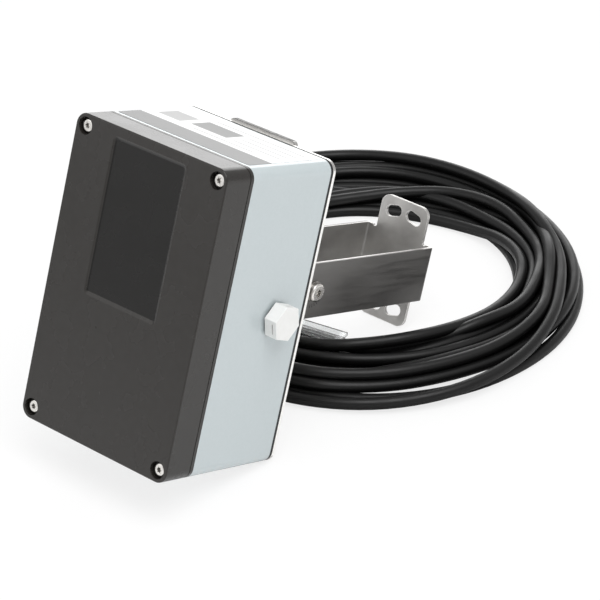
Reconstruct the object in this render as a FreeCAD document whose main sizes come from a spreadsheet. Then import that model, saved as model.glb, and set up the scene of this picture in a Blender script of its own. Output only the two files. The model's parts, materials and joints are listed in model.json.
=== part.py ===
import FreeCAD, Part
import math
import os
import re

import Sketcher
from FreeCAD import Placement, Rotation, Vector

# Radar level sensor: a box with a black moulded cover in front of the antenna, a coated
# aluminium housing, a stainless back plate with a yoke, and a slotted U-shaped mounting
# bracket that tilts on two pivot screws. Its cable lies behind it in a loose coil.
#
# Every rigid piece is drawn in the sensor's own frame: the origin is the middle of the
# front face, X points right, Y points back and Z points up the face. The sensor rests
# leaning back on the lower edge of its back plate and on the foot of the bracket.

SIZES = {
    # Box outline
    "sensor_width": 112,
    "sensor_height": 180,
    "corner_radius": 7,
    "edge_softening": 0.8,
    # Front cover
    "cover_depth": 22.5,
    "cover_wall": 3.5,
    "cover_front": 4,
    "groove_setback": 3,
    "groove_width": 0.6,
    "groove_depth": 0.3,
    "window_width": 54.5,
    "window_height": 91.5,
    "window_margin": 5.5,
    "window_corner": 3,
    "window_slope": 2,
    "window_sink": 1,
    # Housing, seals and back plate
    "housing_depth": 66.5,
    "housing_wall": 4,
    "seal_inset": 1,
    "front_seal_thick": 1,
    "rear_seal_thick": 2,
    "plate_thick": 2,
    # Corner screws
    "screw_inset": 7,
    "boss_width": 11.5,
    "screw_size": 4,
    "screw_play": 0.05,
    "screw_hole": 4.5,
    "screw_head": 8,
    "screw_head_height": 2.6,
    "screw_bite": 10,
    "tapped_depth": 14,
    "counterbore_width": 10,
    "counterbore_depth": 4.5,
    "lobe_spread": 1.25,
    "lobe_width": 0.9,
    "lobe_depth": 1.5,
    "large_lobe_spread": 1.9,
    "large_lobe_width": 1.3,
    # Circuit boards inside
    "lug_width": 9,
    "lug_depth": 8,
    "lug_spread": 120,
    "lug_bore": 3,
    "lug_bore_depth": 6,
    "board_place": 50,
    "board_thick": 1.6,
    "board_play": 2,
    "board_height": 140,
    "board_hole": 3.2,
    "board_screw_head": 5.5,
    "board_screw_height": 2,
    "bore_reserve": 1,
    "chip_height": 3.2,
    "antenna_thick": 1.5,
    "antenna_gap": 4.5,
    "antenna_corner": 1,
    "antenna_screw_head": 4.5,
    "antenna_screw_height": 1.5,
    "strip_width": 4,
    "strip_length": 78,
    "strip_pitch": 13,
    "strip_thick": 0.2,
    "post_width": 5.5,
    "post_bore": 2.5,
    "post_rise": 27,
    "post_gap": 1.25,
    "shield_width": 44,
    "shield_height": 60,
    "shield_depth": 7,
    "shield_wall": 0.8,
    "shield_corner": 2,
    "terminal_width": 32,
    "terminal_height": 11,
    "terminal_depth": 13,
    "terminal_drop": 42,
    "well_width": 4,
    "well_pitch": 5.8,
    "well_depth": 4.3,
    # Mounting bracket
    "bracket_width": 53,
    "bracket_sheet": 2,
    "bracket_bend": 1.5,
    "arm_height": 34,
    "arm_reach": 113.5,
    "arm_nose": 14,
    "arm_corner": 8,
    "tab_width": 36,
    "tab_height": 77,
    "tab_corner": 6,
    "relief_radius": 1.6,
    "relief_side": 1.45,
    "relief_rise": 0.65,
    "slot_width": 7,
    "slot_length": 12,
    "slot_ring": 30.7,
    "slot_angle": 14.5,
    # Yoke on the back plate
    "side_play": 0.2,
    "yoke_sheet": 3,
    "yoke_bend": 1.5,
    "pivot_reach": 43.5,
    "ear_tip": 13,
    "ear_root": 52,
    "yoke_rise": 1.7,
    "yoke_drop": 30,
    "yoke_corner": 3,
    "yoke_screw": 5,
    "yoke_screw_hole": 5.3,
    "yoke_screw_head": 9.5,
    "yoke_screw_height": 2.7,
    "yoke_screw_spread": 26,
    "yoke_screw_top": 78,
    "yoke_screw_low": 20,
    "press_nut_width": 9,
    "press_nut_depth": 4,
    # Pivot screws
    "pivot_size": 6,
    "pivot_play": 0.075,
    "pivot_head": 11.5,
    "pivot_head_height": 3.3,
    "washer_width": 12.5,
    "washer_thick": 1.2,
    "pivot_nut_width": 10,
    "pivot_nut_depth": 5,
    # Vent plug on the right side
    "vent_back": 66,
    "vent_rise": 1,
    "vent_stem": 12,
    "vent_stem_length": 9,
    "vent_bore": 7,
    "vent_ring_width": 16,
    "vent_ring_thick": 1.5,
    "vent_hex": 19,
    "vent_base_height": 5,
    "vent_cap_height": 3.3,
    "vent_rim": 0.3,
    "vent_turn": 20,
    "vent_slot_length": 6.5,
    "vent_slot_height": 0.9,
    "vent_slot_depth": 1.5,
    "membrane_width": 9,
    "membrane_thick": 0.6,
    # Cable gland on the back plate
    "gland_inset": 16,
    "gland_drop": 45,
    "gland_thread": 16,
    "gland_hex": 20,
    "gland_collar": 5,
    "gland_barrel": 16.5,
    "gland_barrel_length": 6,
    "gland_cap_width": 20,
    "gland_cap_length": 15,
    "gland_cap_mouth": 12,
    "gland_rim": 1,
    "gland_lip": 3,
    "gland_stem_length": 9,
    "locknut_depth": 3.5,
    "gland_ring_width": 19,
    "gland_ring_thick": 1,
    # Type label on top
    "label_width": 98,
    "label_depth": 63,
    "label_setback": 2,
    "label_corner": 1,
    "label_thick": 0.2,
    # Cable
    "cable_width": 7.5,
    "coil_long": 155,
    "coil_flattening": 14.5,
    "coil_turn": 140.6,
    "coil_band": 62,
    "hole_flattening": 11.5,
    "hole_turn": 44,
    "coil_height": 14,
    "coil_rounding": 5,
    "core_width": 1.5,
    "core_spread": 1.3,
    "core_length": 20,
    "ferrule_width": 2.1,
    "ferrule_length": 8,
    # Clear marker sleeve on the cable
    "sleeve_length": 31,
    "sleeve_wall": 0.8,
    "sleeve_play": 0.3,
    "sleeve_top_width": 12,
    "sleeve_top_height": 2,
    "sleeve_top_sink": 0.5,
    "sleeve_slot": 0.8,
    "sleeve_slot_rise": 1.2,
    "sleeve_foot_width": 9,
    "sleeve_foot_height": 1.5,
    "sleeve_foot_sink": 0.45,
    # How far cutting sketches stand off the surfaces that they cut
    "cut_margin": 1,
}

# The left, right, lower and upper edges of the large parts on the main board
CHIPS = [(-12, 6, -8, 10), (14, 30, -4, 5), (-34, -22, 18, 34)]
# The places of the four cores in the cable's end, in core spreads, and how much they fan out
CORE_PLACES = [(-1, 0.6), (-0.4, -0.6), (0.4, 0.6), (1, -0.6)]
CORE_FAN = 0.14
# The rounded share of a screw head's height, and the share of a run that a bend may take
HEAD_ROUNDING = 0.45
BEND_SHARE = 0.45
EDGE_TOLERANCE = 1e-4

# Route of the cable, in millimetres in the resting frame. The lead runs from the gland in a
# bend to the right, through the marker sleeve and into the coil. LEAD_START gives its first
# points from the gland's mouth. The tail leaves the coil's outermost turn and lies on the floor
# behind the box.
LEAD_START = [(0, -5.74, 1.88), (0, 9.46, -3.1)]
LEAD_ROUTE = [
    (-44.9, 16.0, 24.6),
    (-40.6, 29.0, 20.6),
    (-32.2, 40.3, 17.2),
    (-18.5, 49.4, 14.9),
    (13.5, 57.0, 13.7),
    (28.0, 67.8, 12.2),
    (38.5, 86.5, 11.4),
    (49.5, 107.5, 11.0),
]
TAIL_ROUTE = [
    (-166.3, 76.4, 3.8),
    (-150.0, 51.0, 3.8),
    (-129.0, 29.0, 3.8),
    (-105.0, 10.0, 3.8),
    (-81.0, -6.0, 3.8),
    (-57.0, -17.0, 3.8),
]
COIL_CENTRE = (-46.3, 142.9)
HOLE_CENTRE = (-41.6, 142.3)

doc = FreeCAD.newDocument("radar_sensor")
sheet = doc.addObject("Spreadsheet::Sheet", "dims")
for row, (name, size) in enumerate(SIZES.items(), start=1):
    sheet.set(f"A{row}", name)
    sheet.set(f"B{row}", str(size))
    sheet.setAlias(f"B{row}", name)
doc.recompute()

WORD = re.compile(r"[a-z][a-z_0-9]*")
PIECES = []
CORD_PIECES = []


# Formulas

def cells(formula):
    """A formula of plain names, with each name pointing to its spreadsheet cell."""
    return WORD.sub(lambda word: "dims." + word[0] if word[0] in SIZES else word[0], str(formula))


def number(formula):
    """The present value of a formula."""
    return float(sheet.evalExpression(cells(formula)))


# Derived places along the depth of the box

HOUSING_END = "(cover_depth + housing_depth)"
PLATE_FACE = "(cover_depth + housing_depth + rear_seal_thick)"
BOX_DEPTH = "(cover_depth + housing_depth + rear_seal_thick + plate_thick)"
PIVOT_PLACE = f"({BOX_DEPTH} + pivot_reach)"
YOKE_WIDTH = "(bracket_width - 2 * bracket_sheet - 2 * side_play)"
SCREW_X = "(sensor_width / 2 - screw_inset)"
SCREW_Z = "(sensor_height / 2 - screw_inset)"
LUG_X = "(sensor_width / 2 - housing_wall - lug_width / 2)"
LUG_Z = "(lug_spread / 2)"
ANTENNA_PLACE = "(cover_front + antenna_gap)"
ANTENNA_BACK = f"({ANTENNA_PLACE} + antenna_thick)"
WINDOW_MIDDLE = "(sensor_height / 2 - window_margin - window_height / 2)"
POST_X = "(shield_width / 2 + post_gap + post_width / 2)"
GLAND_X = "(gland_inset - sensor_width / 2)"

lean = math.atan((number("sensor_height / 2") - number("tab_height / 2"))
                 / (number(PIVOT_PLACE) + number("arm_reach") - number(BOX_DEPTH)))
LEAN = Rotation(Vector(1, 0, 0), -math.degrees(lean))
SENSOR = Placement(Vector(0, 0, 0), LEAN)


def placed(x="0", y="0", z="0", turn=Rotation()):
    """A frame of its own at a place of the sensor, leaning with it."""
    return SENSOR * Placement(Vector(number(x), number(y), number(z)), turn)


# Bodies, sketches and features

def new_body(label, where=SENSOR):
    body = doc.addObject("PartDesign::Body", label)
    body.Label = label
    body.Placement = where
    PIECES.append(body)
    return body


def origin_plane(body, role):
    return next(item for item in body.Origin.OriginFeatures if item.Role == role)


def new_sketch(body, name, role, height="0", x="0", y="0"):
    """A sketch parallel to an origin plane of the body, with its origin at x, y."""
    sketch = body.newObject("Sketcher::SketchObject", f"{body.Label}_{name}")
    sketch.AttachmentSupport = (origin_plane(body, role), [""])
    sketch.MapMode = "FlatFace"
    sketch.AttachmentOffset = Placement(Vector(number(x), number(y), number(height)), Rotation())
    sketch.setExpression("AttachmentOffset.Base.x", cells(x))
    sketch.setExpression("AttachmentOffset.Base.y", cells(y))
    sketch.setExpression("AttachmentOffset.Base.z", cells(height))
    return sketch


def front_sketch(body, name, depth="0", x="0", z="0"):
    """A sketch facing the front of the box, at a depth behind the front face."""
    return new_sketch(body, name, "XZ_Plane", f"-({depth})", x, z)


def fix(sketch, kind, where, formula):
    """A dimension of the sketch, bound to a formula of the sheet."""
    index = sketch.addConstraint(Sketcher.Constraint(kind, *where, number(formula)))
    sketch.setExpression(f"Constraints[{index}]", cells(formula))


def outline(sketch, points):
    """A closed outline of straight lines through points given as formulas."""
    corners = [Vector(number(x), number(y)) for x, y in points]
    first = sketch.GeometryCount
    count = len(corners)
    for index in range(count):
        sketch.addGeometry(Part.LineSegment(corners[index], corners[(index + 1) % count]))
    for index in range(count):
        following = first + (index + 1) % count
        sketch.addConstraint(Sketcher.Constraint("Coincident", first + index, 2, following, 1))
    for index, (x, y) in enumerate(points):
        fix(sketch, "DistanceX", (-1, 1, first + index, 1), x)
        fix(sketch, "DistanceY", (-1, 1, first + index, 1), y)


def box(sketch, left, right, low, high):
    outline(sketch, [(left, low), (right, low), (right, high), (left, high)])


def rounded_box(sketch, left, right, low, high, radius):
    """A box with four equal round corners, as lines and tangent arcs."""
    x0, x1, y0, y1, r = map(number, (left, right, low, high, radius))
    first = sketch.GeometryCount
    sides = [((x0 + r, y0), (x1 - r, y0)), ((x1, y0 + r), (x1, y1 - r)),
             ((x1 - r, y1), (x0 + r, y1)), ((x0, y1 - r), (x0, y0 + r))]
    middles = [(x1 - r, y0 + r), (x1 - r, y1 - r), (x0 + r, y1 - r), (x0 + r, y0 + r)]
    for turn, (side, middle) in enumerate(zip(sides, middles)):
        sketch.addGeometry(Part.LineSegment(Vector(*side[0]), Vector(*side[1])))
        start = math.pi / 2 * (turn - 1)
        corner = Part.Circle(Vector(*middle), Vector(0, 0, 1), r)
        sketch.addGeometry(Part.ArcOfCircle(corner, start, start + math.pi / 2))
    for index in range(8):
        following = first + (index + 1) % 8
        sketch.addConstraint(Sketcher.Constraint("Tangent", first + index, 2, following, 1))
    for index in (0, 4):
        sketch.addConstraint(Sketcher.Constraint("Horizontal", first + index))
        sketch.addConstraint(Sketcher.Constraint("Vertical", first + index + 2))
    for index in (3, 5, 7):
        sketch.addConstraint(Sketcher.Constraint("Equal", first + 1, first + index))
    fix(sketch, "Radius", (first + 1,), radius)
    fix(sketch, "DistanceX", (-1, 1, first + 6, 1), left)
    fix(sketch, "DistanceX", (-1, 1, first + 2, 1), right)
    fix(sketch, "DistanceY", (-1, 1, first, 1), low)
    fix(sketch, "DistanceY", (-1, 1, first + 4, 1), high)


def middle_box(sketch, width, height, radius):
    """A rounded box about the sketch's origin."""
    rounded_box(sketch, f"-({width}) / 2", f"({width}) / 2",
                f"-({height}) / 2", f"({height}) / 2", radius)


def circle(sketch, diameter, x="0", y="0"):
    middle = Vector(number(x), number(y))
    index = sketch.addGeometry(Part.Circle(middle, Vector(0, 0, 1), number(diameter) / 2))
    fix(sketch, "DistanceX", (-1, 1, index, 3), x)
    fix(sketch, "DistanceY", (-1, 1, index, 3), y)
    fix(sketch, "Diameter", (index,), diameter)


def hexagon(sketch, across_flats, turn="0"):
    """A regular hexagon about the sketch's origin."""
    corners = [f"60 * {index} + {turn}" for index in range(6)]
    reach = f"({across_flats}) / (2 * cos(30))"
    outline(sketch, [(f"{reach} * cos({angle})", f"{reach} * sin({angle})") for angle in corners])


def four_circles(sketch, diameter, x, y):
    for side in ("-", ""):
        for level in ("-", ""):
            circle(sketch, diameter, f"{side}{x}", f"{level}{y}")


def add_feature(body, kind, name, sketch):
    feature = body.newObject(f"PartDesign::{kind}", f"{body.Label}_{name}")
    feature.Profile = sketch
    sketch.Visibility = False
    return feature


def set_length(feature, length):
    feature.Length = number(length)
    feature.setExpression("Length", cells(length))


def pad(body, name, sketch, length, back=False):
    """Adds material along the sketch's normal, or the other way."""
    feature = add_feature(body, "Pad", name, sketch)
    feature.Reversed = back
    set_length(feature, length)
    doc.recompute()


def pocket(body, name, sketch, length=None, back=False):
    """Removes material against the sketch's normal, or the other way, and proves it."""
    before = body.Shape.Volume
    feature = add_feature(body, "Pocket", name, sketch)
    feature.Reversed = back
    if length is None:
        feature.Type = "ThroughAll"
    else:
        set_length(feature, length)
    doc.recompute()
    if not body.Shape.Volume < before:
        raise ValueError(f"{body.Label}_{name} removed nothing")


def revolve(body, name, sketch):
    feature = add_feature(body, "Revolution", name, sketch)
    feature.ReferenceAxis = (sketch, ["V_Axis"])
    feature.Angle = 360
    doc.recompute()


def mirror(body, name, role):
    """Repeats the whole body on the other side of one of its origin planes."""
    feature = body.newObject("PartDesign::Mirrored", f"{body.Label}_{name}")
    feature.TransformMode = "Whole shape"
    feature.MirrorPlane = (origin_plane(body, role), [""])
    body.Tip = feature
    doc.recompute()


def polar(body, name, original, sketch, count):
    """Repeats a feature round the normal of the sketch that it was drawn on."""
    feature = body.newObject("PartDesign::PolarPattern", f"{body.Label}_{name}")
    feature.Originals = [original]
    feature.Axis = (sketch, ["N_Axis"])
    feature.Angle = 360
    feature.Occurrences = count
    body.Tip = feature
    doc.recompute()


def fillet(body, name, radius, chosen):
    """Rounds the edges of the body for which chosen is true."""
    base = body.Tip
    names = [f"Edge{index}" for index, edge in enumerate(base.Shape.Edges, start=1) if chosen(edge)]
    feature = body.newObject("PartDesign::Fillet", f"{body.Label}_{name}")
    feature.Base = (base, names)
    feature.Radius = number(radius)
    feature.setExpression("Radius", cells(radius))
    doc.recompute()


def lies_at(axis, place):
    """Chooses edges whose every point has one coordinate."""
    def chosen(edge):
        low, high = getattr(edge.BoundBox, f"{axis}Min"), getattr(edge.BoundBox, f"{axis}Max")
        return max(abs(low - place), abs(high - place)) < EDGE_TOLERANCE
    return chosen


# Outlines shared by the pieces of the box

def inset_outline(sketch, inset):
    middle_box(sketch, f"sensor_width - 2 * ({inset})", f"sensor_height - 2 * ({inset})",
               f"corner_radius - ({inset})")


def rim(body, start, length, inset):
    """A frame of the box's outline round its open middle, with four screw bosses."""
    sketch = front_sketch(body, "outline", start)
    inset_outline(sketch, inset)
    pad(body, "frame", sketch, length, back=True)
    sketch = front_sketch(body, "opening", start)
    inset_outline(sketch, "housing_wall")
    pocket(body, "middle", sketch)
    sketch = front_sketch(body, "bosses", start)
    four_circles(sketch, "boss_width", SCREW_X, SCREW_Z)
    pad(body, "boss_columns", sketch, length, back=True)


def corner_holes(body, name, diameter, depth, length=None):
    sketch = front_sketch(body, name, depth)
    four_circles(sketch, diameter, SCREW_X, SCREW_Z)
    pocket(body, f"{name}_cut", sketch, length)


# Front cover

def make_front_cover():
    body = new_body("front_cover")
    sketch = front_sketch(body, "outline")
    inset_outline(sketch, "0")
    pad(body, "block", sketch, "cover_depth", back=True)
    fillet(body, "front_edge", "edge_softening", lies_at("Y", 0))

    sketch = front_sketch(body, "cavity", "cover_depth")
    inset_outline(sketch, "cover_wall")
    pocket(body, "hollow", sketch, "cover_depth - cover_front", back=True)

    sketch = front_sketch(body, "bosses", "cover_front / 2")
    four_circles(sketch, "boss_width", SCREW_X, SCREW_Z)
    pad(body, "boss_columns", sketch, "cover_depth - cover_front / 2", back=True)

    sketch = front_sketch(body, "rebate", "cover_depth")
    inset_outline(sketch, "seal_inset")
    pocket(body, "seal_rebate", sketch, "front_seal_thick", back=True)

    corner_holes(body, "screw_holes", "screw_hole", "0")
    corner_holes(body, "counterbores", "counterbore_width", "0", "counterbore_depth")

    sketch = front_sketch(body, "groove", "cover_depth - groove_setback")
    inset_outline(sketch, "-groove_depth")
    inset_outline(sketch, "groove_depth")
    pocket(body, "groove_cut", sketch, "groove_width")

    top = front_sketch(body, "window_rim", "0", "0", WINDOW_MIDDLE)
    middle_box(top, "window_width", "window_height", "window_corner")
    floor = front_sketch(body, "window_floor", "window_sink", "0", WINDOW_MIDDLE)
    middle_box(floor, "window_width - 2 * window_slope", "window_height - 2 * window_slope",
               "window_corner / 2")
    before = body.Shape.Volume
    window = add_feature(body, "SubtractiveLoft", "window", top)
    window.Sections = [floor]
    doc.recompute()
    if not body.Shape.Volume < before:
        raise ValueError("the antenna window removed nothing")


# Housing and seals

def make_front_seal():
    body = new_body("front_seal")
    rim(body, "cover_depth - front_seal_thick", "front_seal_thick", "seal_inset")
    corner_holes(body, "screw_holes", "screw_hole", "cover_depth - front_seal_thick")


def make_housing():
    body = new_body("housing")
    rim(body, "cover_depth", "housing_depth", "0")
    corner_holes(body, "front_threads", "screw_size", "cover_depth", "tapped_depth")
    sketch = front_sketch(body, "rear_threads", HOUSING_END)
    four_circles(sketch, "screw_size", SCREW_X, SCREW_Z)
    pocket(body, "rear_threads_cut", sketch, "tapped_depth", back=True)

    lug_face = "board_place + board_thick"
    sketch = front_sketch(body, "lugs", lug_face)
    for side in ("-", ""):
        for level in ("-", ""):
            ends = [f"{side}({LUG_X} + lug_width / 2 + housing_wall / 2)",
                    f"{side}({LUG_X} - lug_width / 2)"]
            left, right = sorted(ends, key=number)
            box(sketch, left, right, f"{level}{LUG_Z} - lug_width / 2",
                f"{level}{LUG_Z} + lug_width / 2")
    pad(body, "lug_blocks", sketch, "lug_depth", back=True)
    sketch = front_sketch(body, "lug_bores", lug_face)
    four_circles(sketch, "lug_bore", LUG_X, LUG_Z)
    pocket(body, "lug_bores_cut", sketch, "lug_bore_depth")

    sketch = new_sketch(body, "vent_hole", "YZ_Plane", "sensor_width / 2", "vent_back", "vent_rise")
    circle(sketch, "vent_stem + 2 * screw_play")
    pocket(body, "vent_hole_cut", sketch, "2 * housing_wall")


def make_rear_seal():
    body = new_body("rear_seal")
    rim(body, HOUSING_END, "rear_seal_thick", "0")
    corner_holes(body, "screw_holes", "screw_hole", HOUSING_END)


# Back plate with its holes for the corner screws, the yoke and the gland

def yoke_holes(sketch, diameter):
    for side in ("-", ""):
        circle(sketch, diameter, f"{side}yoke_screw_spread / 2", "yoke_screw_top")
        circle(sketch, diameter, f"{side}yoke_screw_spread / 2", "-yoke_screw_low")


def make_back_plate():
    body = new_body("back_plate")
    sketch = front_sketch(body, "outline", PLATE_FACE)
    inset_outline(sketch, "0")
    pad(body, "sheet", sketch, "plate_thick", back=True)
    corner_holes(body, "screw_holes", "screw_hole", PLATE_FACE)
    sketch = front_sketch(body, "fittings", PLATE_FACE)
    yoke_holes(sketch, "yoke_screw_hole")
    circle(sketch, "gland_thread + 2 * screw_play", GLAND_X, "-gland_drop")
    pocket(body, "fitting_holes", sketch)


# Screws drawn as pads, so that they share their places with the holes

def screw(body, head_face, head_width, head_height, size, length, facing_front, x, z):
    """A pan head standing on head_face, its rounded rim, and its shank going the other way."""
    sketch = front_sketch(body, "head", head_face, x, z)
    circle(sketch, head_width)
    pad(body, "head_disc", sketch, head_height, back=not facing_front)
    top = f"(({head_face}) {'-' if facing_front else '+'} {head_height})"
    fillet(body, "head_rim", f"{head_height} * {HEAD_ROUNDING}", lies_at("Y", number(top)))
    sketch = front_sketch(body, "shank", head_face, x, z)
    circle(sketch, f"{size} - 2 * screw_play")
    pad(body, "shank_rod", sketch, length, back=facing_front)
    return top


def six_lobes(body, new_face_sketch, spread, width, back=False):
    """The star-shaped recess of a screw, drawn on sketches that lie on its head."""
    sketch = new_face_sketch("recess")
    circle(sketch, f"2 * {spread}")
    pocket(body, "recess_cut", sketch, "lobe_depth", back)
    sketch = new_face_sketch("lobe")
    circle(sketch, width, spread)
    pocket(body, "lobe_cut", sketch, "lobe_depth", back)
    polar(body, "lobes", body.Tip, sketch, 6)


def make_cover_screws():
    body = new_body("cover_screws")
    top = screw(body, "counterbore_depth", "screw_head", "screw_head_height", "screw_size",
                "cover_depth - counterbore_depth + screw_bite", True, SCREW_X, SCREW_Z)
    six_lobes(body, lambda name: front_sketch(body, name, top, SCREW_X, SCREW_Z),
              "lobe_spread", "lobe_width")
    mirror(body, "left_pair", "YZ_Plane")
    mirror(body, "lower_pair", "XY_Plane")


def make_plate_screws():
    body = new_body("plate_screws")
    top = screw(body, BOX_DEPTH, "screw_head", "screw_head_height", "screw_size",
                "plate_thick + rear_seal_thick + screw_bite", False, SCREW_X, SCREW_Z)
    six_lobes(body, lambda name: front_sketch(body, name, top, SCREW_X, SCREW_Z),
              "lobe_spread", "lobe_width", back=True)
    mirror(body, "left_pair", "YZ_Plane")
    mirror(body, "lower_pair", "XY_Plane")


# Yoke: a folded channel with a tall strap, screwed to the back plate

def folded_channel(body, width, sheet_thick, bend, open_end, web, height, way):
    """A U-shaped sheet with its web's outside at web and its sides reaching to open_end.

    way is + where the web lies behind the open end and - where it lies in front of it."""
    right, left = f"({width} / 2)", f"(-{width} / 2)"
    inside = f"({web} - ({way}{sheet_thick}))"
    sketch = new_sketch(body, "channel", "XY_Plane", f"-{height} / 2")
    outline(sketch, [(right, open_end), (right, web), (left, web), (left, open_end),
                     (f"({left} + {sheet_thick})", open_end), (f"({left} + {sheet_thick})", inside),
                     (f"({right} - {sheet_thick})", inside), (f"({right} - {sheet_thick})", open_end)])
    pad(body, "folded_sheet", sketch, height)

    def bend_at(place):
        level = lies_at("Y", number(place))
        return lambda edge: level(edge) and edge.BoundBox.ZLength > EDGE_TOLERANCE

    fillet(body, "inner_bends", bend, bend_at(inside))
    fillet(body, "outer_bends", f"{bend} + {sheet_thick}", bend_at(web))


def make_tilt_yoke():
    """Drawn about the pivot: Y points back, so the yoke's web is at minus pivot_reach."""
    body = new_body("tilt_yoke", placed(y=PIVOT_PLACE))
    folded_channel(body, YOKE_WIDTH, "yoke_sheet", "yoke_bend", "ear_tip", "-pivot_reach",
                   "ear_root", "-")

    root = "(-pivot_reach + yoke_sheet + yoke_bend)"
    beyond = "(ear_tip + cut_margin)"
    for name, way in (("upper_trim", ""), ("lower_trim", "-")):
        sketch = new_sketch(body, name, "YZ_Plane", f"{YOKE_WIDTH} / 2 + cut_margin")
        edge = f"{way}(ear_root / 2 + cut_margin)"
        outline(sketch, [(root, edge), (root, f"{way}ear_root / 2"),
                         ("-ear_tip / 2", f"{way}ear_tip"), ("ear_tip / 2", f"{way}ear_tip"),
                         ("ear_tip", f"{way}ear_tip / 2"), (beyond, f"{way}ear_tip / 2"),
                         (beyond, edge)])
        pocket(body, f"{name}_cut", sketch)

    sketch = front_sketch(body, "strap", "-pivot_reach")
    top = "(sensor_height / 2 + yoke_rise)"
    rounded_box(sketch, f"-{YOKE_WIDTH} / 2", f"{YOKE_WIDTH} / 2", "-yoke_drop", top, "yoke_corner")
    pad(body, "strap_sheet", sketch, "yoke_sheet", back=True)
    sketch = front_sketch(body, "screw_holes", "-pivot_reach")
    yoke_holes(sketch, "yoke_screw_hole")
    pocket(body, "screw_holes_cut", sketch, "yoke_sheet")

    sketch = new_sketch(body, "pivot_hole", "YZ_Plane", f"{YOKE_WIDTH} / 2 + cut_margin")
    circle(sketch, "pivot_size + 2 * pivot_play")
    pocket(body, "pivot_hole_cut", sketch)


def make_yoke_fixings(level_name, height):
    """Two screws through the yoke and the plate, and the nuts pressed into the plate."""
    side = "yoke_screw_spread / 2"
    body = new_body(f"yoke_screws_{level_name}")
    top = screw(body, f"({BOX_DEPTH} + yoke_sheet)", "yoke_screw_head", "yoke_screw_height",
                "yoke_screw", "yoke_sheet + plate_thick + press_nut_depth", False, side, height)
    six_lobes(body, lambda name: front_sketch(body, name, top, side, height),
              "large_lobe_spread", "large_lobe_width", back=True)
    mirror(body, "left_one", "YZ_Plane")

    body = new_body(f"press_nuts_{level_name}")
    sketch = front_sketch(body, "disc", PLATE_FACE, side, height)
    circle(sketch, "press_nut_width")
    circle(sketch, "yoke_screw")
    pad(body, "ring", sketch, "press_nut_depth")
    mirror(body, "left_one", "YZ_Plane")


# Mounting bracket: one folded sheet, drawn about its pivot

def make_mounting_bracket():
    body = new_body("mounting_bracket", placed(y=PIVOT_PLACE))
    folded_channel(body, "bracket_width", "bracket_sheet", "bracket_bend", "-arm_nose", "arm_reach",
                   "arm_height", "+")
    nose = lies_at("Y", -number("arm_nose"))
    ends = [lies_at("Z", number(f"{way}arm_height / 2")) for way in ("-", "")]
    fillet(body, "arm_ends", "arm_corner",
           lambda edge: nose(edge) and any(end(edge) for end in ends))

    sketch = front_sketch(body, "tab", "arm_reach - bracket_sheet")
    middle_box(sketch, "tab_width", "tab_height", "tab_corner")
    pad(body, "tab_sheet", sketch, "bracket_sheet", back=True)
    sketch = front_sketch(body, "reliefs", "arm_reach - bracket_sheet")
    four_circles(sketch, "2 * relief_radius", "(tab_width / 2 + relief_side)",
                 "(arm_height / 2 + relief_rise)")
    pocket(body, "relief_cuts", sketch, "bracket_sheet")

    sketch = new_sketch(body, "pivot_hole", "YZ_Plane", "bracket_width / 2 + cut_margin")
    circle(sketch, "pivot_size + 2 * pivot_play")
    pocket(body, "pivot_hole_cut", sketch)

    tangent_slots(body)


def tangent_slots(body):
    """Four slots that follow a circle about the middle of the web."""
    half = "((slot_length - slot_width) / 2)"
    for name, side in (("right", ""), ("left", "-")):
        for level_name, level in (("upper", ""), ("lower", "-")):
            sketch = front_sketch(body, f"slot_{level_name}_{name}", "arm_reach - bracket_sheet")
            tilt = f"({side}{level}slot_angle)".replace("--", "")
            x = f"{side}slot_ring * sin(slot_angle)"
            z = f"{level}slot_ring * cos(slot_angle)"
            slot(sketch, x, z, half, "slot_width", f"-{tilt}")
            pocket(body, f"slot_{level_name}_{name}_cut", sketch, "bracket_sheet")


def slot(sketch, x, y, half, width, tilt):
    """A slot about x, y: two half circles and two lines, turned by tilt degrees."""
    cx, cy, h, r = number(x), number(y), number(half), number(width) / 2
    angle = math.radians(number(tilt))
    along = Vector(math.cos(angle), math.sin(angle))
    across = Vector(-math.sin(angle), math.cos(angle))
    middle = Vector(cx, cy)
    first = sketch.GeometryCount
    right, left = middle + along * h, middle - along * h
    sketch.addGeometry(Part.ArcOfCircle(Part.Circle(right, Vector(0, 0, 1), r),
                                        angle - math.pi / 2, angle + math.pi / 2))
    sketch.addGeometry(Part.LineSegment(right + across * r, left + across * r))
    sketch.addGeometry(Part.ArcOfCircle(Part.Circle(left, Vector(0, 0, 1), r),
                                        angle + math.pi / 2, angle + 3 * math.pi / 2))
    sketch.addGeometry(Part.LineSegment(left - across * r, right - across * r))
    for index in range(4):
        following = first + (index + 1) % 4
        sketch.addConstraint(Sketcher.Constraint("Tangent", first + index, 2, following, 1))
    sketch.addConstraint(Sketcher.Constraint("Equal", first, first + 2))
    fix(sketch, "Diameter", (first,), width)
    for index, way in ((0, "+"), (2, "-")):
        fix(sketch, "DistanceX", (-1, 1, first + index, 3), f"{x} {way} {half} * cos({tilt})")
        fix(sketch, "DistanceY", (-1, 1, first + index, 3), f"{y} {way} {half} * sin({tilt})")


# Pivot screws, washers and nuts, right and left

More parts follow.
